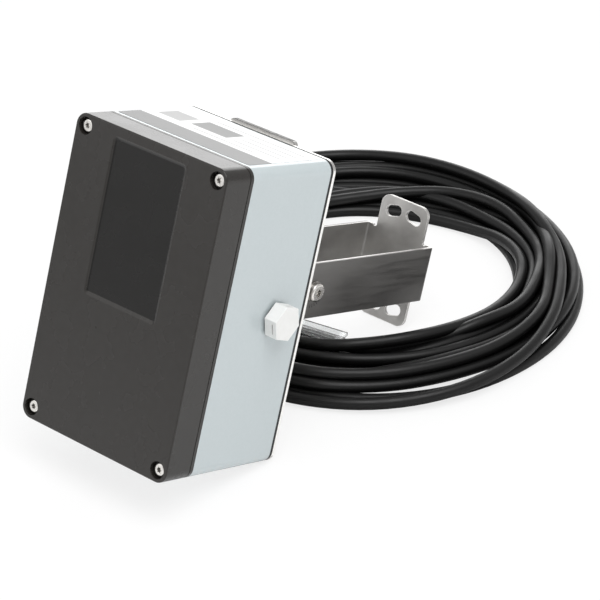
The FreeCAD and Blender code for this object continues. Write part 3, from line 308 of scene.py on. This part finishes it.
def wanted(turn):
    """Where the cable would lie after that many turns: its share across the coil and its layer."""
    azimuth = FIRST_AZIMUTH + 360 * turn
    if turn <= LOOSE_END:
        return from_table(azimuth, LOOSE_SHARES), TOP_LAYER
    if turn <= UPPER_END:
        share, layer = from_table(turn, UPPER_SHARES), UPPER_LAYER
        wobble = UPPER_WOBBLE if turn > WOBBLE_START else 0.0
    else:
        share, layer = (turn - UPPER_END) / LOWER_TURNS, FLOOR_LAYER
        wobble = LOWER_WOBBLE
    if turn < TURNS - OUTER_TURNS:
        for crests, drift in WAVES:
            share += wobble * math.sin(math.radians(crests * azimuth + drift * turn))
        share *= 1 - BUNCH_SHARE * hump(azimuth, BUNCH_AZIMUTH, BUNCH_SPREAD)
    return min(max(share, 0.0), 1.0), layer


def outer_limit(azimuth):
    """The share that the outermost turn may reach."""
    return OUTER_SHARE + BULGE_SHARE * hump(azimuth, BULGE_AZIMUTH, BULGE_SPREAD)


def settle_coil():
    """The coil's points after the turns have pushed each other aside and sunk to rest."""
    count = int(TURNS * STEPS) + 1
    gap = CABLE_DIAMETER / MM
    azimuths = [FIRST_AZIMUTH + 360 * i / STEPS for i in range(count)]
    widths = np.array([coil_width(azimuth) for azimuth in azimuths])
    limits = widths * np.array([outer_limit(azimuth) for azimuth in azimuths])
    wider = np.array([WIDE_GAP * hump(azimuth, WIDE_AZIMUTH, WIDE_SPREAD) for azimuth in azimuths])
    shares, layers = zip(*(wanted(i / STEPS) for i in range(count)))
    targets = np.array(shares) * limits
    place = targets.copy()
    height = lay_down(place, layers, gap)
    crossed = ends_across(azimuths[:STEPS])
    for step in range(PULLED_ROUNDS + QUIET_ROUNDS):
        if step < PULLED_ROUNDS:
            moved = place - targets
            height -= SINK
            for values in (moved, height):
                values[1:-1] += SMOOTHING * (values[:-2] + values[2:] - 2 * values[1:-1])
            place = targets + SHIFT_KEPT * moved
        for column in range(STEPS):
            push_apart(place, height, range(column, count, STEPS), gap, crossed[column])
        set_back = np.minimum(RIM_SLOPE * np.maximum(height - RIM_HEIGHT, 0),
                              MOST_SET_BACK * limits)
        np.clip(place, wider + set_back, limits - set_back, out=place)
        np.maximum(height, gap / 2, out=height)
    return [(*across_coil(azimuth, reach / width), level)
            for azimuth, width, reach, level in zip(azimuths, widths, place, height)]


def lay_down(place, layers, gap):
    """First heights: at each azimuth the turns lie on each other, the lowest layer first."""
    height = np.zeros(len(place))
    for column in range(STEPS):
        turns = sorted(range(column, len(place), STEPS), key=lambda i: (layers[i], i))
        for order, one in enumerate(turns):
            height[one] = gap / 2
            for other in turns[:order]:
                aside = abs(place[one] - place[other])
                if aside < gap:
                    lift = FIRST_LIFT * math.sqrt(gap ** 2 - aside ** 2)
                    height[one] = max(height[one], height[other] + lift)
    return height


def push_apart(place, height, turns, gap, crossed):
    """Pushes the turns at one azimuth apart, and away from the cable's ends that are there."""
    for i, one in enumerate(turns):
        for other in turns[i + 1:]:
            dx, dz = place[other] - place[one], height[other] - height[one]
            near = math.hypot(dx, dz)
            if near < gap:
                push = 0.5 * (gap - near) / max(near, TINY)
                place[one] -= push * dx
                place[other] += push * dx
                height[one] -= push * dz
                height[other] += push * dz
        for reach, level, room in crossed:
            dx, dz = place[one] - reach, height[one] - level
            near = math.hypot(dx, dz)
            if near < room:
                push = room / max(near, TINY) - 1
                place[one] += push * dx
                height[one] += push * dz


def ends_across(azimuths):
    """For each azimuth, the place, height and room of the lead and the tail where they cross."""
    found = [[] for _ in azimuths]
    for route in (LEAD_OVER_COIL, TAIL_ROUTE):
        turned = [math.degrees(math.atan2(y - HOLE_CENTRE[1], x - HOLE_CENTRE[0])) % 360
                  for x, y, _ in route]
        for crossed, azimuth in zip(found, azimuths):
            towards = azimuth % 360
            if turned[0] - RUN_UP <= towards <= turned[-1]:
                x, y, z = (float(np.interp(towards, turned, values)) for values in zip(*route))
                hole = math.dist(across_coil(azimuth, 0), HOLE_CENTRE)
                sleeved = route is LEAD_OVER_COIL and x < SLEEVE_END
                room = CABLE_DIAMETER / MM + (SLEEVE_ROOM if sleeved else 0)
                crossed.append((math.dist((x, y), HOLE_CENTRE) - hole, z, room))
    return found


def make_cable():
    """The whole cable as one round curve in place of CAD's lead, ring and tail."""
    points = LEAD_ROUTE + settle_coil() + TAIL_ROUTE
    curve = bpy.data.curves.new("cable", "CURVE")
    curve.dimensions = "3D"
    spline = curve.splines.new("NURBS")
    spline.points.add(len(points) - 1)
    for point, place in zip(spline.points, points):
        point.co = (*(value * MM for value in place), 1)
        point.radius = CABLE_DIAMETER / 2
    spline.order_u = SPLINE_ORDER
    spline.use_endpoint_u = True
    spline.resolution_u = 6
    curve.bevel_depth = 1.0  # so that the points' radius is the cable's own
    curve.bevel_resolution = 5
    curve.use_fill_caps = True
    cable = bpy.data.objects.new("cable", curve)
    bpy.context.scene.collection.objects.link(cable)
    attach(cable, "sensor")
    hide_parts("cable_lead", "cable_tail", "cable_coil")
    return cable


cable = make_cable()

# ---- materials


def new_material(name, colour, roughness, metallic=0.0, **sockets):
    """A plain material. Further sockets are named with underscores, as in Coat_Weight."""
    made = bpy.data.materials.new(name)
    made.use_nodes = True
    shader = made.node_tree.nodes["Principled BSDF"]
    shader.inputs["Base Color"].default_value = (*colour, 1)
    shader.inputs["Roughness"].default_value = roughness
    shader.inputs["Metallic"].default_value = metallic
    for socket, value in sockets.items():
        shader.inputs[socket.replace("_", " ")].default_value = value
    return made


def feed(made, socket, source):
    """Links a node's output to an input of the material's shader."""
    tree = made.node_tree
    tree.links.new(source, tree.nodes["Principled BSDF"].inputs[socket])


def sensor_coordinates(tree):
    """Object coordinates turned into the sensor's frame, in metres."""
    coordinates = tree.nodes.new("ShaderNodeTexCoord")
    turn = tree.nodes.new("ShaderNodeMapping")
    turn.inputs["Rotation"].default_value = (lean, 0, 0)
    turn.inputs["Location"].default_value = Matrix.Rotation(lean, 3, "X") @ -face_middle
    tree.links.new(coordinates.outputs["Object"], turn.inputs["Vector"])
    return turn.outputs[0]


def noise(tree, size, detail=3.0, stretch=(1, 1, 1)):
    """Noise with grains of that size in metres, drawn out along axes whose stretch is over 1."""
    scaled = tree.nodes.new("ShaderNodeMapping")
    scaled.inputs["Scale"].default_value = [1 / s for s in stretch]
    tree.links.new(sensor_coordinates(tree), scaled.inputs["Vector"])
    texture = tree.nodes.new("ShaderNodeTexNoise")
    texture.inputs["Scale"].default_value = 1 / size
    texture.inputs["Detail"].default_value = detail
    tree.links.new(scaled.outputs[0], texture.inputs["Vector"])
    return texture.outputs["Fac"]


def ramp(tree, value, low, high, from_low=0.3, from_high=0.7):
    """A value stretched from one range, which fits noise if none is given, to another."""
    node = tree.nodes.new("ShaderNodeMapRange")
    node.inputs["From Min"].default_value = from_low
    node.inputs["From Max"].default_value = from_high
    node.inputs["To Min"].default_value = low
    node.inputs["To Max"].default_value = high
    tree.links.new(value, node.inputs["Value"])
    return node.outputs[0]


# The sockets of a mix node that carry colours.
FIRST_COLOUR, SECOND_COLOUR, MIXED_COLOUR = 6, 7, 2


def mix_colours(tree, share, first, second):
    """A mix of two colours, each a socket or a tuple."""
    node = tree.nodes.new("ShaderNodeMix")
    node.data_type = "RGBA"
    tree.links.new(share, node.inputs["Factor"])
    for index, value in ((FIRST_COLOUR, first), (SECOND_COLOUR, second)):
        plug(tree, node.inputs[index], (*value, 1) if isinstance(value, tuple) else value)
    return node.outputs[MIXED_COLOUR]


def shift_roughness(made, low, high, size, stretch=(1, 1, 1)):
    """Roughness that wanders between two values."""
    tree = made.node_tree
    feed(made, "Roughness", ramp(tree, noise(tree, size, stretch=stretch), low, high))


def vary_colour(made, first, second, size, stretch=(1, 1, 1), detail=3.0):
    """Base colour that drifts between two colours."""
    tree = made.node_tree
    share = ramp(tree, noise(tree, size, detail, stretch), 0, 1)
    feed(made, "Base Color", mix_colours(tree, share, first, second))


def add_bump(made, size, depth, stretch=(1, 1, 1)):
    """Grain of that size and depth, in metres."""
    tree = made.node_tree
    bump = tree.nodes.new("ShaderNodeBump")
    bump.inputs["Distance"].default_value = depth
    tree.links.new(noise(tree, size, detail=2.0, stretch=stretch), bump.inputs["Height"])
    feed(made, "Normal", bump.outputs[0])


def paint_over(made, share, colour):
    """Lays another colour over a material's base colour where share is 1."""
    tree = made.node_tree
    base = tree.nodes["Principled BSDF"].inputs["Base Color"]
    below = base.links[0].from_socket if base.links else tuple(base.default_value)[:3]
    feed(made, "Base Color", mix_colours(tree, share, below, colour))


def shift_sheen(made, share, first, second):
    """Sheen that goes from one value to another where share goes from 0 to 1."""
    sheen = math_node(made.node_tree, "MULTIPLY_ADD", share, second - first, first)
    feed(made, "Specular IOR Level", sheen)


def edge_share(tree, width):
    """1 along edges of the solid, where its rounded and its true normal part, 0 elsewhere."""
    rounded = tree.nodes.new("ShaderNodeBevel")
    rounded.samples = 4
    rounded.inputs["Radius"].default_value = width
    geometry = tree.nodes.new("ShaderNodeNewGeometry")
    alike = dot_product(tree, rounded.outputs[0], geometry.outputs["Normal"])
    return ramp(tree, alike, 1, 0, from_low=0.9, from_high=0.995)


def deep_share(tree, distance):
    """1 in narrow recesses, 0 on open faces; it places painted shade."""
    hollow = tree.nodes.new("ShaderNodeAmbientOcclusion")
    hollow.samples = 6
    hollow.inputs["Distance"].default_value = distance
    return ramp(tree, hollow.outputs["AO"], 1, 0, from_low=0.35, from_high=0.85)


def coordinate(tree, axis):
    """One of the sensor's coordinates, in metres."""
    split = tree.nodes.new("ShaderNodeSeparateXYZ")
    tree.links.new(sensor_coordinates(tree), split.inputs[0])
    return split.outputs[axis]


def between(tree, value, low, high):
    """1 where a value lies between two numbers, 0 elsewhere."""
    return product(tree, math_node(tree, "GREATER_THAN", value, low),
                   math_node(tree, "LESS_THAN", value, high))


def beyond(tree, axis, limit):
    """1 where a coordinate is further from 0 than a limit, 0 elsewhere."""
    distance = math_node(tree, "ABSOLUTE", coordinate(tree, axis))
    return math_node(tree, "GREATER_THAN", distance, limit)


def field(tree, x_range, second_axis, second_range):
    """1 in a rectangle of the sensor's frame given in millimetres, 0 elsewhere."""
    sides = (("X", x_range), (second_axis, second_range))
    return product(tree, *(between(tree, coordinate(tree, axis), low * MM, high * MM)
                           for axis, (low, high) in sides))


# The last steel colour is a painted highlight along the sheet's cut edges.
STEEL_DARK, STEEL_PALE, STEEL_EDGE_HIGHLIGHT = (0.45, 0.44, 0.43), (0.70, 0.69, 0.67), (0.92, 0.91, 0.89)


def make_sheet_steel(name, painted_edge):
    """Rolled stainless sheet with cloudy grey patches; its cut edges carry a painted colour: a painted highlight
    on the bright steel, painted shade on the yoke.
    """
    made = new_material(name, STEEL_PALE, 0.4, metallic=1.0)
    vary_colour(made, STEEL_DARK, STEEL_PALE, 28 * MM, stretch=(1, 1.6, 1), detail=5.0)
    paint_over(made, edge_share(made.node_tree, 0.7 * MM), painted_edge)
    shift_roughness(made, 0.34, 0.48, 3 * MM, stretch=(1, 12, 1))
    add_bump(made, 0.35 * MM, 0.012 * MM, stretch=(1, 14, 1))
    return made


WINDOW_X, WINDOW_Z = (-26, 26), (-5, 83.5)
WINDOW_COLOUR = (0.006, 0.0055, 0.005)
COVER_SHEEN, WINDOW_SHEEN = 0.43, 0.33


def darken_window(made):
    """The antenna window is darker and duller than the cover round it."""
    window = field(made.node_tree, WINDOW_X, "Z", WINDOW_Z)
    paint_over(made, window, WINDOW_COLOUR)
    shift_sheen(made, window, COVER_SHEEN, WINDOW_SHEEN)


# From this far across on, the arms show their outer faces. Painted shade covers a share of the steel there.
ARM_OUTSIDE = 25.3 * MM
ARM_SHADE, ARM_SHADE_SHARE = (0.09, 0.086, 0.082), 0.74


def paint_outside_shade(made):
    """Painted shade: the arms' outer faces are a darker grey than their inner ones."""
    outside = beyond(made.node_tree, "X", ARM_OUTSIDE)
    paint_over(made, product(made.node_tree, outside, ARM_SHADE_SHARE), ARM_SHADE)


# A scale round the pivot: the ring that its lines fill, in millimetres and degrees from straight
# back, their spacing in degrees, and half a line's width as a share of the spacing.
SCALE_RADII, SCALE_ANGLES = (8.4, 10.6), (-100, -8)
SCALE_STEP, SCALE_LINE = 12.0, 0.09
SCALE_COLOUR = (0.01, 0.01, 0.01)


def engrave_scale(made):
    """Short dark marks round the pivot, below and behind it, on the bracket's arms."""
    tree = made.node_tree
    behind = math_node(tree, "SUBTRACT", coordinate(tree, "Y"), PIVOT_DEPTH)
    above = coordinate(tree, "Z")
    squares = [math_node(tree, "POWER", value, 2) for value in (behind, above)]
    radius = math_node(tree, "SQRT", math_node(tree, "ADD", *squares))
    ring = between(tree, radius, *(value * MM for value in SCALE_RADII))
    angle = math_node(tree, "ARCTAN2", above, behind)
    sector = between(tree, angle, *(math.radians(value) for value in SCALE_ANGLES))
    steps = math_node(tree, "DIVIDE", angle, math.radians(SCALE_STEP))
    off_line = math_node(tree, "SUBTRACT", math_node(tree, "FRACT", steps), 0.5)
    lines = math_node(tree, "LESS_THAN", math_node(tree, "ABSOLUTE", off_line), SCALE_LINE)
    paint_over(made, product(tree, ring, sector, lines), SCALE_COLOUR)


# Beyond these limits the plate's rim is painted bright, as a painted highlight.
RIM_X, RIM_Z = 55.6 * MM, 89.6 * MM
RIM_HIGHLIGHT = (0.93, 0.92, 0.90)


def paint_rim_highlight(made):
    """The plate's cut rim carries a painted highlight."""
    tree = made.node_tree
    rim = math_node(tree, "MAXIMUM", beyond(tree, "X", RIM_X), beyond(tree, "Z", RIM_Z))
    paint_over(made, rim, RIM_HIGHLIGHT)


# Fields of the label as x range, y range and grey, and thin rules as x range and front edge, in
# millimetres.
LABEL_GREY, LABEL_PALE, LABEL_RULE = (0.34, 0.34, 0.34), (0.5, 0.5, 0.5), (0.42, 0.42, 0.42)
LABEL_FIELDS = [((-50, 50), (24, 43.3), LABEL_GREY), ((-21.5, 5), (55.5, 71.7), LABEL_GREY),
                ((-44, -27), (52, 69), LABEL_PALE)]
LABEL_RULES = [((-14, 30), 48.9), ((10, 44), 55.7), ((10, 44), 62.7), ((10, 44), 69.7),
               ((-21.5, 44), 77.2)]
RULE_WIDTH = 1


def make_label():
    """White foil with plain grey fields and rules where such a plate carries its data."""
    made = new_material("label_foil", (0.86, 0.86, 0.86), 0.55, Specular_IOR_Level=0.12)
    vary_colour(made, (0.85, 0.85, 0.85), (0.87, 0.87, 0.87), 6 * MM)
    rules = [(x_range, (front, front + RULE_WIDTH), LABEL_RULE) for x_range, front in LABEL_RULES]
    for x_range, y_range, colour in LABEL_FIELDS + rules:
        paint_over(made, field(made.node_tree, x_range, "Y", y_range), colour)
    return made


# The bare cores fan out from the jacket's end. Half their fan's width there is in millimetres,
# and it grows by a share of the distance. The limits part the cores as shares of it.
CORE_COLOURS = [(0.16, 0.05, 0.02), (0.8, 0.8, 0.78), (0.02, 0.06, 0.35), (0.012, 0.012, 0.012)]
CORE_SPREAD, CORE_FAN, CORE_LIMITS = 1.3, 0.14, (-0.7, 0, 0.7)
FERRULE_START, FERRULE_COLOUR = 12.0, (0.78, 0.78, 0.76)


def make_core_ends():
    """Four coloured cores with tinned ferrules, told apart by their place across the cable."""
    made = new_material("core_ends", CORE_COLOURS[0], 0.35)
    tree = made.node_tree
    end, before = (Vector(point) * MM for point in (TAIL_ROUTE[-1], TAIL_ROUTE[-2]))
    ahead = (end - before).normalized()
    side = Vector((-ahead.y, ahead.x, 0))
    spots = tree.nodes.new("ShaderNodeTexCoord").outputs["Object"]
    along, aside = (math_node(tree, "SUBTRACT", dot_product(tree, spots, axis), end.dot(axis))
                    for axis in (ahead, side))
    width = math_node(tree, "MULTIPLY_ADD", along, CORE_FAN, CORE_SPREAD * MM)
    share = math_node(tree, "DIVIDE", aside, width)
    for limit, colour in zip(CORE_LIMITS, CORE_COLOURS[1:]):
        paint_over(made, math_node(tree, "GREATER_THAN", share, limit), colour)
    tinned = math_node(tree, "GREATER_THAN", along, FERRULE_START * MM)
    paint_over(made, tinned, FERRULE_COLOUR)
    feed(made, "Metallic", tinned)
    shift_roughness(made, 0.28, 0.42, 1 * MM)
    return made


def make_cover():
    """Black moulded plastic with a fine grain and the darker antenna window."""
    made = new_material("cover_plastic", (0.021, 0.019, 0.017), 0.28)
    vary_colour(made, (0.019, 0.017, 0.015), (0.022, 0.020, 0.018), 5 * MM)
    darken_window(made)
    add_bump(made, 0.3 * MM, 0.002 * MM)
    shift_roughness(made, 0.25, 0.29, 20 * MM)
    return made


def make_housing_paint():
    """Light grey powder coat."""
    made = new_material("housing_paint", (0.49, 0.545, 0.56), 0.2,
                        Coat_Weight=0.4, Coat_Roughness=0.05)
    vary_colour(made, (0.485, 0.54, 0.555), (0.50, 0.555, 0.57), 1.5 * MM)
    add_bump(made, 0.8 * MM, 0.006 * MM)
    return made


def make_fastener_steel():
    """Bright screws, with painted shade down in their recesses."""
    made = new_material("fastener_steel", (0.74, 0.72, 0.69), 0.24, metallic=1.0)
    vary_colour(made, (0.62, 0.60, 0.57), (0.82, 0.80, 0.77), 1.2 * MM)
    # Painted shade: near black where ambient occlusion finds a recess.
    paint_over(made, deep_share(made.node_tree, 1.2 * MM), (0.03, 0.03, 0.03))
    add_bump(made, 0.25 * MM, 0.006 * MM)
    return made


def make_cable_jacket():
    """Matte black, with its sheen lowered between turns that lie close together, as painted shade."""
    made = new_material("cable_jacket", (0.006, 0.006, 0.006), 0.34)
    add_bump(made, 0.5 * MM, 0.02 * MM)
    shift_roughness(made, 0.3, 0.44, 12 * MM)
    # Painted shade: less sheen where ambient occlusion finds the turns close together.
    shift_sheen(made, deep_share(made.node_tree, 26 * MM), 0.3, 0.06)
    return made


def make_materials():
    """All materials by the record's slot."""
    made = {
        "cover_plastic": make_cover(),
        "housing_paint": make_housing_paint(),
        "stainless": make_sheet_steel("stainless", STEEL_EDGE_HIGHLIGHT),
        "fastener_steel": make_fastener_steel(),
        "label_foil": make_label(),
        "cable_jacket": make_cable_jacket(),
        "core_ends": make_core_ends(),
        "clear_plastic": new_material("clear_plastic", (0.96, 0.97, 0.97), 0.03,
                                      Transmission_Weight=0.93, IOR=1.35),
    }
    for slot, colour, roughness, metallic in (
            ("seal_rubber", (0.012, 0.012, 0.013), 0.7, 0.0),
            ("vent_plastic", (0.80, 0.80, 0.785), 0.4, 0.0),
            ("membrane", (0.85, 0.85, 0.85), 0.8, 0.0),
            ("gland_plastic", (0.02, 0.02, 0.021), 0.4, 0.0),
            ("board_laminate", (0.02, 0.12, 0.05), 0.3, 0.0),
            ("shield_tin", (0.72, 0.72, 0.70), 0.3, 1.0),
            ("post_brass", (0.78, 0.58, 0.26), 0.25, 1.0),
            ("terminal_plastic", (0.05, 0.28, 0.10), 0.4, 0.0)):
        made[slot] = new_material(slot, colour, roughness, metallic)
    vary_colour(made["vent_plastic"], (0.79, 0.79, 0.775), (0.82, 0.82, 0.81), 4 * MM)
    vary_colour(made["board_laminate"], (0.018, 0.10, 0.045), (0.025, 0.14, 0.06), 1.0 * MM)
    add_bump(made["seal_rubber"], 0.3 * MM, 0.02 * MM)
    add_bump(made["vent_plastic"], 0.3 * MM, 0.01 * MM)
    add_bump(made["membrane"], 0.15 * MM, 0.02 * MM)
    add_bump(made["gland_plastic"], 0.3 * MM, 0.015 * MM)
    add_bump(made["terminal_plastic"], 0.3 * MM, 0.01 * MM)
    shift_roughness(made["shield_tin"], 0.25, 0.4, 5 * MM)
    shift_roughness(made["post_brass"], 0.2, 0.35, 1 * MM)
    shift_roughness(made["clear_plastic"], 0.02, 0.06, 4 * MM)
    return made


# Painted shade: the yoke's cut edges and its top above YOKE_TOP are painted dark.
YOKE_EDGE_SHADE, YOKE_TOP_SHADE = (0.06, 0.057, 0.055), (0.07, 0.067, 0.064)
YOKE_TOP = 91.6 * MM


def make_special(stainless):
    """Steel of its own for each piece of sheet, by node."""
    bracket_steel, plate_steel = stainless.copy(), stainless.copy()
    bracket_steel.name, plate_steel.name = "bracket_steel", "plate_steel"
    paint_outside_shade(bracket_steel)
    engrave_scale(bracket_steel)
    paint_rim_highlight(plate_steel)
    yoke_steel = make_sheet_steel("yoke_steel", YOKE_EDGE_SHADE)
    # Painted shade over the yoke's top.
    paint_over(yoke_steel, beyond(yoke_steel.node_tree, "Z", YOKE_TOP), YOKE_TOP_SHADE)
    return {"mounting_bracket": bracket_steel, "back_plate": plate_steel, "tilt_yoke": yoke_steel}


materials = make_materials()
special = make_special(materials["stainless"])
for entry in frame["record"]["subparts"]:
    node = nodes[entry["node"]]
    node.data.materials.clear()
    node.data.materials.append(special.get(entry["node"], materials[entry["material_slot"]]))
cable.data.materials.append(materials["cable_jacket"])
